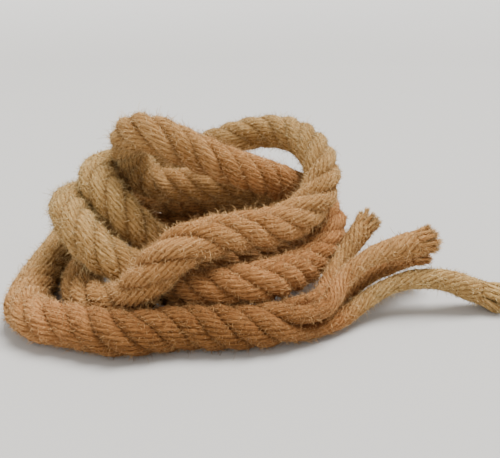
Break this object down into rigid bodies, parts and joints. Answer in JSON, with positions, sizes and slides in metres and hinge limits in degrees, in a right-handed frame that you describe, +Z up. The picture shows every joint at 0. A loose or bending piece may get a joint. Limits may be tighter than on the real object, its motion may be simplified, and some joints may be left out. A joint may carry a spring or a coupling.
{
  "type": "loose rope heap",
  "caption": "Loose tangled heap of thick laid jute rope lying on a floor, with one end unlaid into separate frayed strands.",
  "frame": {"origin": "on the floor, under the middle of the heap's box", "axes": "+Z up from the floor, +X along the heap's longest side towards the loose strands' tips, +Y from the front run towards the back of the heap"},
  "size_m": [0.3069, 0.184, 0.1129],
  "materials": {
    "laid_rope": "dry, hairy natural jute, laid in four strands",
    "loose_strand": "unlaid jute strand, loosely twisted yarns",
    "frayed_fibre": "splayed pale jute fibre"
  },
  "bodies": {
    "heap": {"front_run": "laid_rope", "front_left_bend": "laid_rope", "left_floor_run": "laid_rope", "left_back_fold": "laid_rope", "left_bulge": "laid_rope", "middle_row": "laid_rope", "right_rise": "laid_rope", "top_run": "laid_rope", "top_hairpin": "laid_rope", "inner_turn": "laid_rope", "back_pass": "laid_rope", "inner_floor_bend": "laid_rope", "ring_front": "laid_rope", "ring_side": "laid_rope", "ring_back": "laid_rope", "left_fall": "laid_rope", "inner_floor_run": "laid_rope", "right_floor_bend": "laid_rope", "back_floor_run": "laid_rope", "strand_1_root": "loose_strand", "strand_2_root": "loose_strand", "strand_3_root": "loose_strand", "strand_4_root": "loose_strand"},
    "strand_1_end": {"strand_1_free": "loose_strand", "strand_1_fray": "frayed_fibre"},
    "strand_2_end": {"strand_2_free": "loose_strand", "strand_2_fray": "frayed_fibre"},
    "strand_3_end": {"strand_3_free": "loose_strand", "strand_3_fray": "frayed_fibre"},
    "strand_4_end": {"strand_4_free": "loose_strand", "strand_4_fray": "frayed_fibre"}
  },
  "joints": [
    {"name": "strand_1_swing_outward", "type": "hinge", "parent": "heap", "child": "strand_1_end", "pos_m": [0.06252, -0.05134, 0.0108], "axis": [0, 0, -1], "range_deg": [0, 30]},
    {"name": "strand_2_swing_back", "type": "hinge", "parent": "heap", "child": "strand_2_end", "pos_m": [0.05827, -0.03922, 0.00967], "axis": [0, 0, 1], "range_deg": [0, 25]},
    {"name": "strand_3_lift", "type": "hinge", "parent": "heap", "child": "strand_3_end", "pos_m": [0.0603, -0.04664, 0.02418], "axis": [0.7682, -0.6402, 0], "range_deg": [0, 30]},
    {"name": "strand_4_lift", "type": "hinge", "parent": "heap", "child": "strand_4_end", "pos_m": [0.05369, -0.0337, 0.02413], "axis": [0.8412, -0.5408, 0], "range_deg": [0, 25]}
  ]
}
